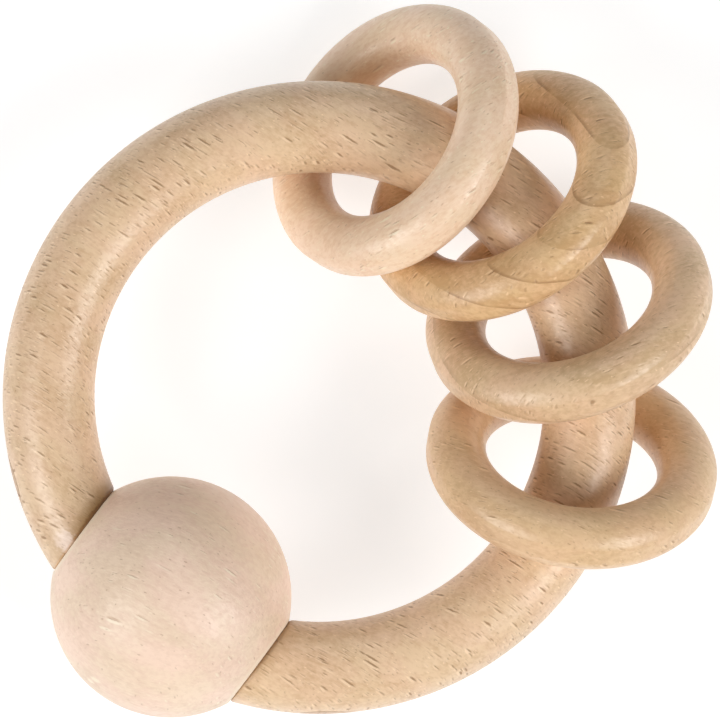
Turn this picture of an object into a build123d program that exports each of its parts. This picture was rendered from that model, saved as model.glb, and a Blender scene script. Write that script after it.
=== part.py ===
from build123d import *
import os
from math import cos, radians, sin

# A beech baby rattle in millimetres. A large C-shaped grip ring has its gap closed by a turned ball, pegged
# with one dowel, and four small closed rings are threaded on it. It lies on a table, as it rests by itself:
# the ball and the lower edge of each small ring touch the table, and the small rings lean over clockwise.
#
# The origin is the centre of the grip ring, which lies in the XY plane. +Z is up, away from the table.
# Angles are in degrees, counter-clockwise from +X as seen from above.

# Grip ring: a round tube bent to a circle.
GRIP_RADIUS = 39.3           # from the origin to the middle of the tube
GRIP_TUBE_RADIUS = 6.7

# Ball: a 35 mm sphere with two parallel flats, where the cut ends of the grip ring meet it.
BALL_RADIUS = 17.5
BALL_DISTANCE = 36.1         # from the origin to the ball's centre
BALL_ANGLE = 233.4
FLAT_DISTANCE = 15.85        # from the ball's centre to each flat

# Dowel: straight through both ends of the grip ring and the ball, flush with the ring's outer side.
DOWEL_RADIUS = 2.5
GLUE_GAP = 0.05              # between the dowel and its bore

# Small rings: all alike, round in section, with a narrow flat turned round the outer rim.
RING_RADIUS = 17.0           # from a small ring's centre to the middle of its section
RING_SECTION_RADIUS = 4.4
RING_RIM_DEPTH = 0.2         # how much of the round section the rim's flat takes off

# Where each small ring lies. The station is the angle round the grip ring of its centre, the distance is
# from the origin to its centre, the twist is how far its level diameter is turned from the radial direction,
# and the lean is how far its plane is tipped up from the table.
RING_STATIONS = [73.8, 48.0, 19.4, -14.1]
RING_DISTANCES = [39.05, 39.65, 38.4, 37.8]
RING_TWISTS = [-16.5, -7.5, 2.0, 4.9]
RING_LEANS = [46.5, 46.6, 49.0, 51.2]

TABLE_HEIGHT = -BALL_RADIUS

# The ball's own axes: X points away from the origin, and Y runs from one flat to the other.
BALL_PLACE = Rot(0, 0, BALL_ANGLE) * Pos(BALL_DISTANCE, 0, 0)


def dowel_rod(radius):
    """A round rod along the dowel's axis, which crosses both flats squarely, longer than the dowel."""
    return BALL_PLACE * Rot(90, 0, 0) * Cylinder(radius, 2 * GRIP_RADIUS)


def grip_ring():
    """The tube's full circle, less the slot for the ball and the bore for the dowel."""
    slot = BALL_PLACE * Box(2 * BALL_RADIUS, 2 * FLAT_DISTANCE, 2 * BALL_RADIUS)
    return Torus(GRIP_RADIUS, GRIP_TUBE_RADIUS) - slot - dowel_rod(DOWEL_RADIUS + GLUE_GAP)


def ball():
    """A sphere cut by the two flats and bored through for the dowel."""
    between_flats = Box(2 * BALL_RADIUS, 2 * FLAT_DISTANCE, 2 * BALL_RADIUS)
    return BALL_PLACE * (Sphere(BALL_RADIUS) & between_flats) - dowel_rod(DOWEL_RADIUS + GLUE_GAP)


def ball_dowel():
    """The rod, with its ends sanded to the outer side of the grip ring."""
    return dowel_rod(DOWEL_RADIUS) & Torus(GRIP_RADIUS, GRIP_TUBE_RADIUS)


def small_ring():
    """One small ring about +Z at the origin, turned from a section with a flattened outer rim."""
    rim_radius = RING_RADIUS + RING_SECTION_RADIUS - RING_RIM_DEPTH
    section = Pos(RING_RADIUS, 0) * Circle(RING_SECTION_RADIUS)
    stock = Pos(rim_radius / 2, 0) * Rectangle(rim_radius, 3 * RING_SECTION_RADIUS)
    return revolve(Plane.XZ * (section & stock), Axis.Z)


def small_ring_place(station, distance, twist, lean):
    """Stands a small ring on the table with its clockwise side raised by the lean."""
    height = TABLE_HEIGHT + RING_RADIUS * sin(radians(lean)) + RING_SECTION_RADIUS
    centre = Pos(distance * cos(radians(station)), distance * sin(radians(station)), height)
    return centre * Rot(0, 0, station + twist) * Rot(-lean, 0, 0)


parts = {
    "grip_ring": grip_ring(),
    "ball": ball(),
    "ball_dowel": ball_dowel(),
}
places = zip(RING_STATIONS, RING_DISTANCES, RING_TWISTS, RING_LEANS)
for number, place in enumerate(places, start=1):
    parts[f"rattle_ring_{number}"] = small_ring_place(*place) * small_ring()

os.makedirs("parts", exist_ok=True)
for name, solid in parts.items():
    export_step(solid, f"parts/{name}.step")
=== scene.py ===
from math import acos, asin, atan2, cos, pi, radians, sin, sqrt

import bmesh
import bpy
import numpy as np
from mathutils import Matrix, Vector


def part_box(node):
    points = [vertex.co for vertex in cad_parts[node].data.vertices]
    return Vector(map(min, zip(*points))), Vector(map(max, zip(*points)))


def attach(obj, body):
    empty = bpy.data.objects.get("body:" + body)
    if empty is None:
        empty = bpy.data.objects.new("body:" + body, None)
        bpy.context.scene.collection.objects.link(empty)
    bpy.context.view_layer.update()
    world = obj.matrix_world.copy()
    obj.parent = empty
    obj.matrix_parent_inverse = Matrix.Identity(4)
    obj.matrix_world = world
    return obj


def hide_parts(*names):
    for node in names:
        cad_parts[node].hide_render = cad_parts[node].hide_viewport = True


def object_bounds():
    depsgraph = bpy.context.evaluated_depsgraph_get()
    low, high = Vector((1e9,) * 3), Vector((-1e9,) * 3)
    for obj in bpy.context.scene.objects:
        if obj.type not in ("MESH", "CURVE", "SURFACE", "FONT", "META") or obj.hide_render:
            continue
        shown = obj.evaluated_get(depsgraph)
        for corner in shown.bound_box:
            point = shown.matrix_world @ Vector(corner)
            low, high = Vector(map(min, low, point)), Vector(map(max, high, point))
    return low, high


# The looks of a beech baby rattle: a grip ring, the ball that closes it, the dowel that pegs them together,
# and four small rings. Everything is in metres in the CAD frame, and each piece is rebuilt with the sizes
# that are read from its CAD node.

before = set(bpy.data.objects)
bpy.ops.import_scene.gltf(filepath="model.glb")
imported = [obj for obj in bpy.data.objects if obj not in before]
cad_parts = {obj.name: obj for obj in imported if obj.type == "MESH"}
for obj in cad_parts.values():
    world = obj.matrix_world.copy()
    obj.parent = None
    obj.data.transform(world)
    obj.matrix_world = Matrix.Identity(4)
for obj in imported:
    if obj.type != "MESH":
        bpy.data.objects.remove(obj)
cad_low, cad_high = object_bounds()

MM = 0.001
UP = Vector((0, 0, 1))

# Camera: straight above the rattle.
CAMERA_HEIGHT = 726.5 * MM         # above the grip ring's plane
VIEW_WIDTH = 104.6 * MM            # what the picture spans in that plane
VIEW_CENTRE = (5.93 * MM, 5.27 * MM)
SENSOR = 36.0                      # the width of the sensor in millimetres
NEAREST = 10 * MM                  # nothing closer to the camera is drawn

# Mesh density.
GRIP_LOOPS, GRIP_SIDES = 520, 84
RING_LOOPS, RING_SIDES = 260, 64
BALL_TURNS, BALL_ARC = 200, 110
DOWEL_TURNS, DOWEL_CIRCLES = 64, 5
EDGE_PARTS = 6

# Hand finish: edges sanded round, and tubes that are not perfectly even.
EDGE_ROUND = 0.45 * MM             # the radius at the grip ring's ends
RIM_STEP = 0.12 * MM               # how far the easing of a small ring's rim reaches
BALL_STRIP = 0.45 * MM             # the outermost strip of the ball's flats, over which the shading turns
DOWEL_STRIP = 0.06 * MM            # the same at the dowel's ends
BORE_GAP = 0.05 * MM               # between the dowel and its bore in the ball
UNEVEN = 0.035 * MM                # the most that a tube is sanded below its full radius
FADE_SHARE = 1 / 12                # the share of the grip ring at each end where that fades out

# The floor and the softboxes. A softbox has its azimuth and elevation in degrees, its distance and size in
# metres, and the irradiance that it gives at the rattle, in watts per square metre.
FLOOR_SIZE = 4
FLOOR_GREY = 0.5
FLOOR_GLOW = 0.65
WORLD_LIGHT = 0.06
SOFTBOXES = {
    "softbox_left": dict(azimuth=207.5, elevation=38, distance=0.8, size=0.45, irradiance=2.25),
    "softbox_right": dict(azimuth=333, elevation=38, distance=0.8, size=0.45, irradiance=2.3),
    "softbox_back": dict(azimuth=90, elevation=38, distance=0.8, size=0.6, irradiance=0.62),
}


# ---------------------------------------------------------------- sizes read from the frame

def node_points(name):
    """The vertices of a CAD node, one row for each."""
    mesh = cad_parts[name].data
    points = np.empty(len(mesh.vertices) * 3)
    mesh.vertices.foreach_get("co", points)
    return points.reshape(-1, 3)


def centre_of(name):
    low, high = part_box(name)
    return (low + high) / 2


def half_height(name):
    low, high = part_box(name)
    return (high.z - low.z) / 2


grip_low, grip_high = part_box("grip_ring")
TUBE = half_height("grip_ring")
GRIP = (grip_high.x - grip_low.x) / 2 - TUBE
BALL = half_height("ball")
DOWEL = half_height("ball_dowel")

ball_centre = centre_of("ball")
OUTWARD = Vector((ball_centre.x, ball_centre.y, 0)).normalized()   # from the grip ring's centre to the ball
CHORD = UP.cross(OUTWARD)                                          # from one flat of the ball to the other
BALL_DISTANCE = ball_centre.dot(OUTWARD)
FLAT = float(np.abs((node_points("ball") - np.array(ball_centre)) @ np.array(CHORD)).max())

# The middle of a painted highlight spot on the tube, beside the upper seam.
HIGHLIGHT_SPOT = OUTWARD * (BALL_DISTANCE + 2.5 * MM) - CHORD * (FLAT + 1.2 * MM) + UP * 0.92 * TUBE


def ring_frame(name):
    """A small ring's centre, axes and sizes.

    The axes are its level diameter, its raised radius and its own axis. The sizes are the radius of its
    section, the radius of the circle through the section's middle, and how far outside it the rim's flat is.
    """
    points = node_points(name)
    centre = centre_of(name)
    spread = points - np.array(centre)
    normal = Vector(np.linalg.svd(spread - spread.mean(0), full_matrices=False)[2][2])
    if normal.z < 0:
        normal.negate()
    level = normal.cross(UP).normalized()
    raised = normal.cross(level).normalized()
    height = spread @ np.array(normal)
    across = np.linalg.norm(spread - height[:, None] * np.array(normal), axis=1)
    section = float(np.abs(height).max())
    middle = float(across.min()) + section
    rim = float(across.max()) - middle
    return {"centre": centre, "level": level, "raised": raised, "normal": normal,
            "section": section, "middle": middle, "rim": rim}


# ---------------------------------------------------------------- mesh tools

def grid_mesh(name, rows, wrap_rows):
    """An object made of quads between rows of points. Each row closes on itself.

    The rows either close on each other too, or end in a flat face at the first row and at the last.
    """
    bm = bmesh.new()
    made = [[bm.verts.new(p) for p in row] for row in rows]
    row_count, column_count = len(made), len(made[0])
    for i in range(row_count if wrap_rows else row_count - 1):
        for j in range(column_count):
            a, b = made[i], made[(i + 1) % row_count]
            k = (j + 1) % column_count
            bm.faces.new((a[j], a[k], b[k], b[j]))
    if not wrap_rows:
        bm.faces.new(made[0])
        bm.faces.new(made[-1][::-1])
    bmesh.ops.recalc_face_normals(bm, faces=bm.faces)
    for face in bm.faces:
        face.smooth = len(face.verts) == 4
    mesh = bpy.data.meshes.new(name)
    bm.to_mesh(mesh)
    bm.free()
    piece = bpy.data.objects.new(name, mesh)
    bpy.context.scene.collection.objects.link(piece)
    return piece


def unevenness(turn, side, seed):
    """A slow, small variation between 0 and 1, for a surface that was sanded by hand."""
    wave = sin(3 * turn + seed) + sin(5 * turn - 2 * side + 2.1 * seed) + sin(2 * side + 1.7 * seed)
    return 0.5 + wave / 6


# ---------------------------------------------------------------- pieces

def make_grip_ring():
    """The tube from one flat of the ball round to the other, with its end edges sanded round."""
    ball_angle = atan2(OUTWARD.y, OUTWARD.x)
    sides = [2 * pi * j / GRIP_SIDES for j in range(GRIP_SIDES)]

    def tube_point(side, radius, turn):
        distance = GRIP + radius * cos(side)
        angle = ball_angle + turn
        return (distance * cos(angle), distance * sin(angle), radius * sin(side))

    def end_turn(side, radius, depth):
        """How far round from the ball's direction the tube reaches the plane at this depth past a flat."""
        return asin((FLAT + depth) / (GRIP + radius * cos(side)))

    edge = []
    for k in range(EDGE_PARTS + 1):
        depth = EDGE_ROUND * (1 - cos(pi / 2 * k / EDGE_PARTS))
        radius = TUBE - EDGE_ROUND + sqrt(max(0, EDGE_ROUND ** 2 - (EDGE_ROUND - depth) ** 2))
        edge.append((depth, radius))

    rows = []
    for depth, radius in edge:
        rows.append([tube_point(s, radius, end_turn(s, radius, depth)) for s in sides])
    for i in range(1, GRIP_LOOPS):
        row = []
        for s in sides:
            first = end_turn(s, TUBE, EDGE_ROUND)
            turn = first + (2 * pi - 2 * first) * i / GRIP_LOOPS
            fade = min(1, min(i, GRIP_LOOPS - i) / GRIP_LOOPS / FADE_SHARE)
            radius = TUBE - UNEVEN * fade * unevenness(turn, s, seed=0.4)
            row.append(tube_point(s, radius, turn))
        rows.append(row)
    for depth, radius in reversed(edge):
        rows.append([tube_point(s, radius, 2 * pi - end_turn(s, radius, depth)) for s in sides])
    return grid_mesh("grip_ring_wood", rows, wrap_rows=False)


def make_ball():
    """A ball turned about the chord axis, with two flats and the dowel's bore."""
    flat_radius = sqrt(BALL ** 2 - FLAT ** 2)
    rim_angle = asin(flat_radius / BALL)
    bore = DOWEL + BORE_GAP
    profile = [(bore, -FLAT), (flat_radius - BALL_STRIP, -FLAT)]
    for k in range(BALL_ARC + 1):
        angle = rim_angle + (pi - 2 * rim_angle) * k / BALL_ARC
        profile.append((BALL * sin(angle), -BALL * cos(angle)))
    profile += [(flat_radius - BALL_STRIP, FLAT), (bore, FLAT)]
    rows = []
    for i in range(BALL_TURNS):
        turn = 2 * pi * i / BALL_TURNS
        out = OUTWARD * cos(turn) + UP * sin(turn)
        rows.append([ball_centre + out * radius + CHORD * along for radius, along in profile])
    return grid_mesh("ball_wood", rows, wrap_rows=True)


def make_dowel():
    """The rod, whose end faces follow the outer side of the grip ring."""
    radii = [DOWEL * k / (DOWEL_CIRCLES + 1) for k in range(1, DOWEL_CIRCLES + 1)]
    radii += [DOWEL - DOWEL_STRIP, DOWEL]

    def end_reach(across, height):
        """How far along the chord the tube's outer side is from the ball's centre."""
        surface = GRIP + sqrt(TUBE ** 2 - height ** 2)
        return sqrt(surface ** 2 - (BALL_DISTANCE + across) ** 2)

    rows = []
    for end, end_radii in ((-1, radii), (1, radii[::-1])):
        for radius in end_radii:
            row = []
            for i in range(DOWEL_TURNS):
                turn = 2 * pi * i / DOWEL_TURNS
                across, height = radius * cos(turn), radius * sin(turn)
                reach = end * end_reach(across, height)
                row.append(ball_centre + OUTWARD * across + UP * height + CHORD * reach)
            rows.append(row)
    return grid_mesh("ball_dowel_wood", rows, wrap_rows=False)


def rim_section(section, rim):
    """Points round a small ring's section: a circle with a flat on its outer side, whose edges are eased."""
    cut = acos(rim / section)
    gap = RIM_STEP / section
    arc = [cut + gap + 2 * (pi - cut - gap) * j / RING_SIDES for j in range(RING_SIDES + 1)]
    points = [(section * cos(a), section * sin(a)) for a in arc]
    half_flat = section * sin(cut) - RIM_STEP
    points += [(rim, half_flat * t) for t in (-1, -0.5, 0, 0.5, 1)]
    return points


def make_small_ring(number):
    """A closed ring with a round section whose outer rim is turned to a narrow flat."""
    name = f"rattle_ring_{number}"
    ring = ring_frame(name)
    section = rim_section(ring["section"], ring["rim"])
    rows = []
    for i in range(RING_LOOPS):
        turn = 2 * pi * i / RING_LOOPS
        out = ring["level"] * cos(turn) + ring["raised"] * sin(turn)
        row = []
        for outward, height in section:
            side = atan2(height, outward)
            scale = 1 - UNEVEN * unevenness(turn, side, number) / ring["section"]
            offset = out * (ring["middle"] + outward * scale) + ring["normal"] * (height * scale)
            row.append(ring["centre"] + offset)
        rows.append(row)
    return grid_mesh(name + "_wood", rows, wrap_rows=True)


# ---------------------------------------------------------------- beech

# Sizes in the wood are in millimetres, and a triple is along the fibres, across them, and across the growth
# layers.

RAY = dict(cell=(4.1, 0.8, 1.6), half=(2.1, 0.18, 0.65))
FINE_RAY = dict(cell=(2.6, 0.5, 1.3), half=(1.3, 0.115, 0.5))
PORE = dict(cell=(1.1, 0.6, 1.5), half=(0.38, 0.12, 0.5))
GLINT_PORES = 0.7                 # pores with a random number above this show a painted glint

# How often each kind of noise varies in a millimetre.
PATCHES = (0.07, 0.18, 0.18)
WARMTH = (0.11, 0.2, 0.2)
FIBRES = (0.5, 3.2, 3.2)
MOTTLE = (0.9, 1.35, 1.35)

ROSY = (1.05, 1.0, 1.06, 1)        # the tint of the warmest patches
DARK = (0.45, 0.32, 0.19)          # rays, pores and glue, as shares of the brown
SEAM_SHADE = (0.68, 0.57, 0.36)         # painted shade by a seam, as shares of the brown
# The colour of the painted highlight spot by the upper seam.
HIGHLIGHT_SPOT_COLOUR = (0.95, 0.74, 0.62, 1)
BUMP_HEIGHT = 0.08 * MM

# What a wood has unless its own description says otherwise.
USUAL_WOOD = dict(
    rays=0.7,                      # the share of the cells that hold a ray
    ray_depth=0.7,                 # how dark the rays are
    pores=0.5,                     # the share of the cells that hold a dark pore
    bands=0.1,                     # how much browner each growth layer's late wood is
    band_spacing=3.2,
    band_phase=0.0,
    band_line=0.0,                 # how dark the line at the end of a growth layer is
    fibre=1.0,                     # how strong the fibres are
    grit=1.0,                      # how strong the mottle from sanding is
    blush=0.5,                     # how rosy the warmest patches are
    roughness=0.38,                # what the mottle varies
    coat=0.28,                     # how strong the wax's own highlight is
    wax_share=0.75,                # how strong the painted glints in pores are
    seam=None,                     # for the grip ring, painted shade and a glue line by the ball; for the ball, a painted highlight along its flats' edges
)


class Graph:
    """Short calls for the nodes of one material."""

    def __init__(self, name):
        self.material = bpy.data.materials.new(name)
        self.material.use_nodes = True
        self.tree = self.material.node_tree
        self.shader = self.tree.nodes["Principled BSDF"]

    def node(self, kind, inputs=(), **settings):
        made = self.tree.nodes.new("ShaderNode" + kind)
        for key, value in settings.items():
            setattr(made, key, value)
        for key, value in dict(inputs).items():
            self.feed(made.inputs[key], value)
        return made

    def feed(self, socket, value):
        if isinstance(value, bpy.types.NodeSocket):
            self.tree.links.new(value, socket)
        else:
            socket.default_value = value

    def math(self, operation, *values):
        made = self.node("Math", operation=operation)
        for socket, value in zip(made.inputs, values):
            self.feed(socket, value)
        return made.outputs[0]

    def vector(self, operation, *values):
        made = self.node("VectorMath", operation=operation)
        for socket, value in zip(made.inputs, values):
            self.feed(socket, value)
        return made.outputs["Value" if operation in ("DOT_PRODUCT", "LENGTH") else "Vector"]

    def range(self, value, low, high, to_low=0.0, to_high=1.0):
        """The value moved smoothly from one range to another."""
        made = self.node("MapRange", {"Value": value, "From Min": low, "From Max": high,
                                      "To Min": to_low, "To Max": to_high}, interpolation_type="SMOOTHSTEP")
        return made.outputs["Result"]

    def noise(self, place, rate, detail=2.0, roughness=0.5):
        """A number between 0 and 1. The rate is how often it varies in a millimetre along each axis."""
        made = self.node("TexNoise", {"Vector": self.vector("MULTIPLY", place, rate), "Scale": 1.0,
                                      "Detail": detail, "Roughness": roughness})
        return made.outputs["Fac"]

    def sway(self, place, rate, detail, reach):
        """A vector that varies to both sides of zero."""
        made = self.node("TexNoise", {"Vector": place, "Scale": rate, "Detail": detail})
        centred = self.vector("SUBTRACT", made.outputs["Color"], (0.5, 0.5, 0.5))
        return self.vector("MULTIPLY", centred, reach)

    def mix(self, share, first, second):
        made = self.node("Mix", data_type="RGBA", blend_type="MIX")
        self.feed(made.inputs["Factor"], share)
        self.feed(made.inputs[6], first)
        self.feed(made.inputs[7], second)
        return made.outputs[2]

    def blend(self, colour, other, *shares):
        """The colour with the product of the shares of the other colour in it."""
        share = shares[0]
        for factor in shares[1:]:
            share = self.math("MULTIPLY", share, factor)
        return self.mix(share, colour, other)


def shade_of(colour, shares):
    return tuple(c * s for c, s in zip(colour, shares)) + (1,)


def spindles(graph, place, cell, half, seed):
    """Spindles that lie along the fibres, at most one in each cell. Half is half the size of the largest one.

    Returns the spindle's mask, the mask of a lit edge beside it, and three random numbers for each cell.
    """
    moved = graph.vector("ADD", place, (seed * 17.3, seed * 9.1, seed * 5.7))
    scaled = graph.vector("DIVIDE", moved, cell)
    cells = graph.node("TexVoronoi", {"Vector": scaled, "Scale": 1.0}, feature="F1")
    random = graph.node("SeparateColor", {"Color": cells.outputs["Color"]}).outputs
    offset = graph.vector("SUBTRACT", scaled, cells.outputs["Position"])
    offset = graph.vector("MULTIPLY", offset, tuple(c / h for c, h in zip(cell, half)))
    length = graph.range(random[2], 0.0, 1.0, 1.0, 2.4)
    width = graph.range(random[1], 0.0, 1.0, 1.5, 0.9)
    shorter = graph.node("CombineXYZ", {"X": length, "Y": width, "Z": 1.0})
    offset = graph.vector("MULTIPLY", offset, shorter.outputs[0])
    mark = graph.range(graph.vector("LENGTH", offset), 1.0, 0.4)
    beside = graph.vector("ADD", offset, (0.2, 1.6, 0.0))
    edge = graph.range(graph.vector("LENGTH", beside), 1.25, 0.5)
    return mark, edge, random


def kept_spindles(graph, place, kind, seed, share, weakest, strongest):
    """The masks of spindles and of their lit edges, in a share of the cells, each with a random strength."""
    mark, edge, random = spindles(graph, place, kind["cell"], kind["half"], seed)
    kept = graph.math("LESS_THAN", random[0], share)
    strength = graph.math("MULTIPLY", kept, graph.range(random[1], 0.0, 1.0, weakest, strongest))
    return graph.math("MULTIPLY", mark, strength), graph.math("MULTIPLY", edge, strength)


def wood_place(graph, spot, grain, radial, seed):
    """Where a point of the surface is in the wood, and how deep it is in the growth layers.

    Grain is the fibre direction, and radial is the direction across the growth layers.
    """
    grain = Vector(grain).normalized()
    radial = Vector(radial)
    radial = (radial - grain * radial.dot(grain)).normalized()
    across = radial.cross(grain)
    axes = graph.node("CombineXYZ")
    for socket, axis in zip(axes.inputs, (grain, across, radial)):
        graph.feed(socket, graph.vector("DOT_PRODUCT", spot, axis / MM))
    straight = axes.outputs[0]
    seeded = graph.vector("ADD", straight, (seed * 31.0, seed * 47.0, seed * 19.0))
    drift = graph.sway(seeded, 0.06, 1.0, (0.0, 2.4, 2.4))
    ragged = graph.sway(seeded, 2.2, 2.0, (0.5, 0.13, 0.13))
    place = graph.vector("ADD", graph.vector("ADD", seeded, drift), ragged)
    wander = graph.vector("ADD", straight, graph.vector("MULTIPLY", drift, (0.0, 0.25, 0.25)))
    depth = graph.node("SeparateXYZ", {"Vector": graph.vector("ADD", wander, ragged)}).outputs["Z"]
    return place, depth


def wood_tone(graph, place, depth, pale, brown, wood):
    """Slow patches, growth layers, fibres and a fine mottle from sanding, with rosy patches.

    Returns the colour, the mask of the lines between growth layers, and the patches, fibres and mottle.
    """
    patches = graph.noise(place, PATCHES, 3.0)
    warmth = graph.noise(place, WARMTH)
    fibres = graph.noise(place, FIBRES, 3.0, 0.6)
    mottle = graph.noise(place, MOTTLE, 2.0, 0.6)
    layers = graph.math("MULTIPLY_ADD", depth, 1 / wood["band_spacing"], wood["band_phase"])
    layer = graph.math("FRACT", layers)
    layer_end = graph.range(layer, 1.0, 0.975)
    late_wood = graph.math("MULTIPLY", graph.range(layer, 0.35, 0.97), layer_end)
    line = graph.math("MULTIPLY", graph.range(layer, 0.88, 0.975), layer_end)
    line = graph.math("MULTIPLY", line, graph.range(warmth, 0.42, 0.58))
    tone = graph.range(patches, 0.3, 0.7, 0.0, 0.5)
    for texture, strength in ((fibres, wood["fibre"]), (mottle, wood["grit"])):
        tone = graph.math("ADD", tone, graph.range(texture, 0.25, 0.75, -0.2 * strength, 0.24 * strength))
    tone = graph.math("ADD", tone, graph.math("MULTIPLY", late_wood, wood["bands"]))
    colour = graph.mix(tone, (*pale, 1), (*brown, 1))
    warm_spots = graph.math("MULTIPLY_ADD", mottle, 0.35, graph.math("SUBTRACT", warmth, 0.175))
    tint = graph.mix(graph.range(warm_spots, 0.35, 0.65, 0.0, wood["blush"]), (1, 1, 1, 1), ROSY)
    return graph.vector("MULTIPLY", colour, tint), line, patches, fibres, mottle


def wood_marks(graph, colour, place, line, patches, pale, brown, wood, seed):
    """Dark rays along the fibres, a few bold and most fine, each with a painted highlight on one edge, and
    pores, some of which hold a painted glint.

    Returns the colour, the mask of the rays and the mask of the pores.
    """
    share = graph.math("ADD", graph.range(patches, 0.3, 0.7, -0.2, 0.2), wood["rays"])
    bold, bold_edge = kept_spindles(graph, place, RAY, seed + 0.3, share, 0.3, 1.0)
    fine, fine_edge = kept_spindles(graph, place, FINE_RAY, seed + 0.5, share, 0.15, 0.65)
    pore, _, random = spindles(graph, place, PORE["cell"], PORE["half"], seed + 0.7)
    # Painted glints: pale specks in some pores.
    wax = graph.math("MULTIPLY", pore, graph.math("GREATER_THAN", random[0], GLINT_PORES))
    pore = graph.math("MULTIPLY", pore, graph.math("LESS_THAN", random[0], wood["pores"]))
    rays = graph.math("MAXIMUM", bold, fine)
    dark = shade_of(brown, DARK)
    highlight_colour = highlight_of(pale)
    # Painted highlight: the lit edge beside each ray.
    colour = graph.blend(colour, highlight_colour, graph.math("MAXIMUM", bold_edge, fine_edge), 0.8)
    colour = graph.blend(colour, highlight_colour, wax, wood["wax_share"])
    colour = graph.blend(colour, dark, pore, 0.3)
    colour = graph.blend(colour, dark, line, wood["band_line"])
    colour = graph.blend(colour, dark, rays, wood["ray_depth"])
    return colour, rays, pore


# The pale colour of painted highlights and glints.
def highlight_of(pale):
    return tuple(min(0.95, 1.1 * c + 0.06) for c in pale) + (1,)


def seam_shade_and_glue(graph, colour, spot, mottle, brown):
    """The grip ring by the ball: painted shade in amber and a dark glue line on the inner side, and a painted
    highlight spot.

    The painted shade stands for the shadow that the ball casts on the tube, and is stronger at the upper
    seam. The glue line is partly painted shade too: it is dark mostly on that side. A glue line runs round
    the dowel's ends too.
    """
    dark = shade_of(brown, DARK)
    along = graph.vector("DOT_PRODUCT", spot, CHORD / MM)
    past = graph.math("SUBTRACT", graph.math("ABSOLUTE", along), FLAT / MM)
    reach = graph.math("ADD", past, graph.range(mottle, 0.3, 0.7, -0.12, 0.12))
    outer = graph.vector("DOT_PRODUCT", spot, OUTWARD / MM)
    ball_half = graph.math("GREATER_THAN", outer, 0.0)
    # Painted shade: where the ball's shadow falls, strongest on the inner side and at the upper seam.
    inner_side = graph.math("MULTIPLY", graph.range(outer, 43.0, 32.0, 0.1, 1.0), ball_half)
    inner_side = graph.math("MULTIPLY", inner_side, graph.range(along, -1.0, 1.0, 1.0, 0.5))
    # Painted shade in amber next to the seam.
    colour = graph.blend(colour, shade_of(brown, SEAM_SHADE), graph.range(past, 2.8, 0.2, 0.0, 0.9), inner_side)
    # The glue line, partly painted shade: it is dark mostly where the shadow falls.
    colour = graph.blend(colour, dark, graph.range(reach, 0.75, 0.3), inner_side)
    from_ball = graph.vector("SUBTRACT", spot, ball_centre)
    from_axis = graph.vector("LENGTH", graph.vector("CROSS_PRODUCT", from_ball, CHORD / MM))
    colour = graph.blend(colour, dark, graph.range(from_axis, DOWEL / MM + 0.22, DOWEL / MM + 0.05, 0.0, 0.8))
    # Painted highlight: a pale, ragged spot beside the upper seam.
    from_highlight_spot = graph.vector("DIVIDE", graph.vector("SUBTRACT", spot, HIGHLIGHT_SPOT), (MM, MM, MM))
    ragged = graph.range(mottle, 0.3, 0.7, -0.6, 0.6)
    from_highlight_spot = graph.math("ADD", graph.vector("LENGTH", from_highlight_spot), ragged)
    return graph.blend(colour, HIGHLIGHT_SPOT_COLOUR, graph.range(from_highlight_spot, 2.2, 0.5, 0.0, 0.62))


def rim_highlight_by_seam(graph, colour, spot, mottle, pale):
    """A painted highlight: a pale band along the edge of the ball's flats."""
    along = graph.vector("DOT_PRODUCT", spot, CHORD / MM)
    past = graph.math("SUBTRACT", graph.math("ABSOLUTE", along), FLAT / MM)
    reach = graph.math("ADD", past, graph.range(mottle, 0.3, 0.7, -0.12, 0.12))
    return graph.blend(colour, highlight_of(pale), graph.range(reach, -0.6, -0.2, 0.0, 0.6))


def satin_wax(graph, rays, pore, fibres, mottle, wood):
    """The finish: satin wax, duller in the rays, with fibres that can just be felt."""
    usual = wood["roughness"]
    roughness = graph.math("ADD", graph.range(mottle, 0.3, 0.7, usual - 0.03, usual + 0.08),
                           graph.math("MULTIPLY", rays, 0.2))
    relief = graph.math("ADD", graph.math("MULTIPLY", fibres, 0.35),
                        graph.math("MULTIPLY", mottle, 0.55 * wood["grit"]))
    relief = graph.math("SUBTRACT", relief, graph.math("MAXIMUM", rays, graph.math("MULTIPLY", pore, 0.5)))
    bump = graph.node("Bump", {"Height": relief, "Strength": 0.95, "Distance": BUMP_HEIGHT})
    sockets = graph.shader.inputs
    graph.feed(sockets["Roughness"], roughness)
    graph.feed(sockets["Normal"], bump.outputs["Normal"])
    sockets["IOR"].default_value = 1.5
    sockets["Coat Weight"].default_value = wood["coat"]
    sockets["Coat Roughness"].default_value = 0.38
    sockets["Sheen Weight"].default_value = 0.04
    sockets["Sheen Roughness"].default_value = 0.4


def beech(name, pale, brown, grain, radial, seed, **changes):
    """Waxed beech between a pale and a brown colour. The changes are to USUAL_WOOD."""
    wood = {**USUAL_WOOD, **changes}
    graph = Graph(name)
    spot = graph.node("TexCoord").outputs["Object"]
    place, depth = wood_place(graph, spot, grain, radial, seed)
    colour, line, patches, fibres, mottle = wood_tone(graph, place, depth, pale, brown, wood)
    colour, rays, pore = wood_marks(graph, colour, place, line, patches, pale, brown, wood, seed)
    # The grip ring: painted shade, a glue line and a painted highlight spot by the ball.
    if wood["seam"] == "shaded_and_glued":
        colour = seam_shade_and_glue(graph, colour, spot, mottle, brown)
    # The ball: a painted highlight along the edges of its flats.
    if wood["seam"] == "lit_rim":
        colour = rim_highlight_by_seam(graph, colour, spot, mottle, pale)
    graph.feed(graph.shader.inputs["Base Color"], colour)
    satin_wax(graph, rays, pore, fibres, mottle, wood)
    return graph.material


# ---------------------------------------------------------------- stage

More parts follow.
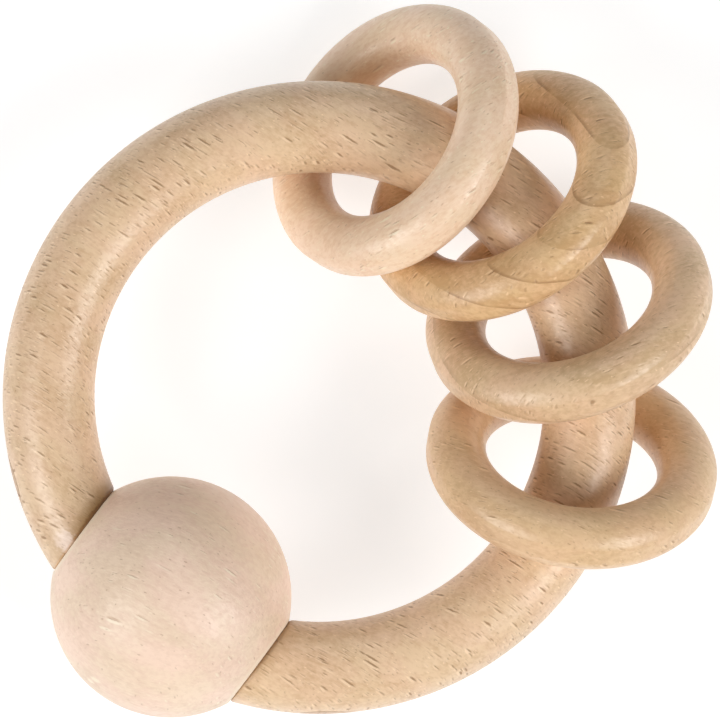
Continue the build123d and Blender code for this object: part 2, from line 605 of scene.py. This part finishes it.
def make_floor():
    bpy.ops.mesh.primitive_plane_add(size=FLOOR_SIZE, location=(0, 0, cad_low.z))
    floor = bpy.context.object
    floor.name = "floor"
    graph = Graph("floor_paper")
    sockets = graph.shader.inputs
    sockets["Base Color"].default_value = (FLOOR_GREY, FLOOR_GREY, FLOOR_GREY, 1)
    sockets["Roughness"].default_value = 0.9
    sockets["Specular IOR Level"].default_value = 0.1
    sockets["Emission Color"].default_value = (1, 1, 1, 1)
    sockets["Emission Strength"].default_value = FLOOR_GLOW
    floor.data.materials.append(graph.material)


def make_softbox(name, azimuth, elevation, distance, size, irradiance):
    """A square light that faces the rattle."""
    light = bpy.data.lights.new(name, "AREA")
    light.shape = "SQUARE"
    light.size = size
    light.energy = irradiance * pi * distance ** 2
    lamp = bpy.data.objects.new(name, light)
    azimuth, elevation = radians(azimuth), radians(elevation)
    direction = Vector((cos(elevation) * cos(azimuth), cos(elevation) * sin(azimuth), sin(elevation)))
    lamp.location = direction * distance
    lamp.rotation_euler = direction.to_track_quat("Z", "Y").to_euler()
    bpy.context.scene.collection.objects.link(lamp)


def make_world():
    world = bpy.data.worlds.new("studio")
    world.use_nodes = True
    background = world.node_tree.nodes["Background"]
    background.inputs["Color"].default_value = (1, 1, 1, 1)
    background.inputs["Strength"].default_value = WORLD_LIGHT
    bpy.context.scene.world = world


def make_camera():
    data = bpy.data.cameras.new("camera")
    data.sensor_fit = "HORIZONTAL"
    data.sensor_width = SENSOR
    data.lens = SENSOR * CAMERA_HEIGHT / VIEW_WIDTH
    data.clip_start = NEAREST
    camera = bpy.data.objects.new("camera", data)
    camera.location = (*VIEW_CENTRE, CAMERA_HEIGHT)
    bpy.context.scene.collection.objects.link(camera)
    bpy.context.scene.camera = camera


make_camera()
bpy.context.scene.view_settings.view_transform = "Standard"
make_floor()
for name, light in SOFTBOXES.items():
    make_softbox(name, **light)
make_world()


# ---------------------------------------------------------------- the rattle

def finish_piece(piece, node, body, material):
    piece.data.materials.append(material)
    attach(piece, body)
    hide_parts(node)


# Boldly flecked tube.
grip_wood = beech("grip_beech", pale=(0.795, 0.571, 0.363), brown=(0.637, 0.426, 0.238),
                  grain=(0.86, -0.51, 0.05), radial=(0.1, 0.25, 1), seed=1.0, rays=0.72, ray_depth=0.73,
                  grit=1.7, blush=0.6, coat=0.42, wax_share=0.9, seam="shaded_and_glued")
# Close, dull and pale ball.
ball_wood = beech("ball_beech", pale=(0.885, 0.69, 0.52), brown=(0.765, 0.572, 0.415),
                  grain=(0.9, -0.4, 0.15), radial=(0.3, 0.4, 1), seed=2.0, rays=0.12, ray_depth=0.2,
                  pores=0.3, bands=0.05, grit=1.5, blush=0.8, roughness=0.42, coat=0.0, wax_share=0.4,
                  seam="lit_rim")
# Brown end grain of the dowel.
dowel_wood = beech("dowel_beech", pale=(0.66, 0.44, 0.26), brown=(0.44, 0.27, 0.14), grain=tuple(CHORD),
                   radial=(0, 0, 1), seed=3.0, fibre=2.2, grit=1.8)

finish_piece(make_grip_ring(), "grip_ring", "grip", grip_wood)
finish_piece(make_ball(), "ball", "grip", ball_wood)
finish_piece(make_dowel(), "ball_dowel", "grip", dowel_wood)

# The small rings: 1 is pale and close, 2 is warm with clear growth lines, and 3 and 4 are in between.
RING_WOODS = {
    1: dict(pale=(0.91, 0.69, 0.488), brown=(0.81, 0.57, 0.366), grain=(0.8, 0.55, 0.2), radial=(0.3, 0.2, 1),
            rays=0.2, ray_depth=0.4, pores=0.3, fibre=1.4, grit=2.0),
    2: dict(pale=(0.78, 0.522, 0.277), brown=(0.615, 0.383, 0.176), grain=(0.98, 0, -0.2),
            radial=(-0.11, -0.84, -0.53), rays=0.35, bands=0.6, band_spacing=4.95, band_phase=0.06,
            band_line=0.5, fibre=0.8, grit=2.0, blush=0.7),
    3: dict(pale=(0.775, 0.545, 0.335), brown=(0.615, 0.415, 0.227), grain=(0.9, 0.3, -0.3),
            radial=(0.2, -0.6, -0.77), rays=0.35, ray_depth=0.6, bands=0.5, band_spacing=7.0, band_line=0.25,
            fibre=0.8, grit=1.9, blush=0.7),
    4: dict(pale=(0.77, 0.53, 0.304), brown=(0.633, 0.41, 0.216), grain=(0.9, -0.3, 0.2), radial=(0, 0.2, 1),
            rays=0.25, ray_depth=0.5, grit=1.7, blush=0.6),
}
for number, wood in RING_WOODS.items():
    material = beech(f"ring_{number}_beech", seed=4.0 + number, **wood)
    piece = make_small_ring(number)
    finish_piece(piece, f"rattle_ring_{number}", f"ring_{number}", material)
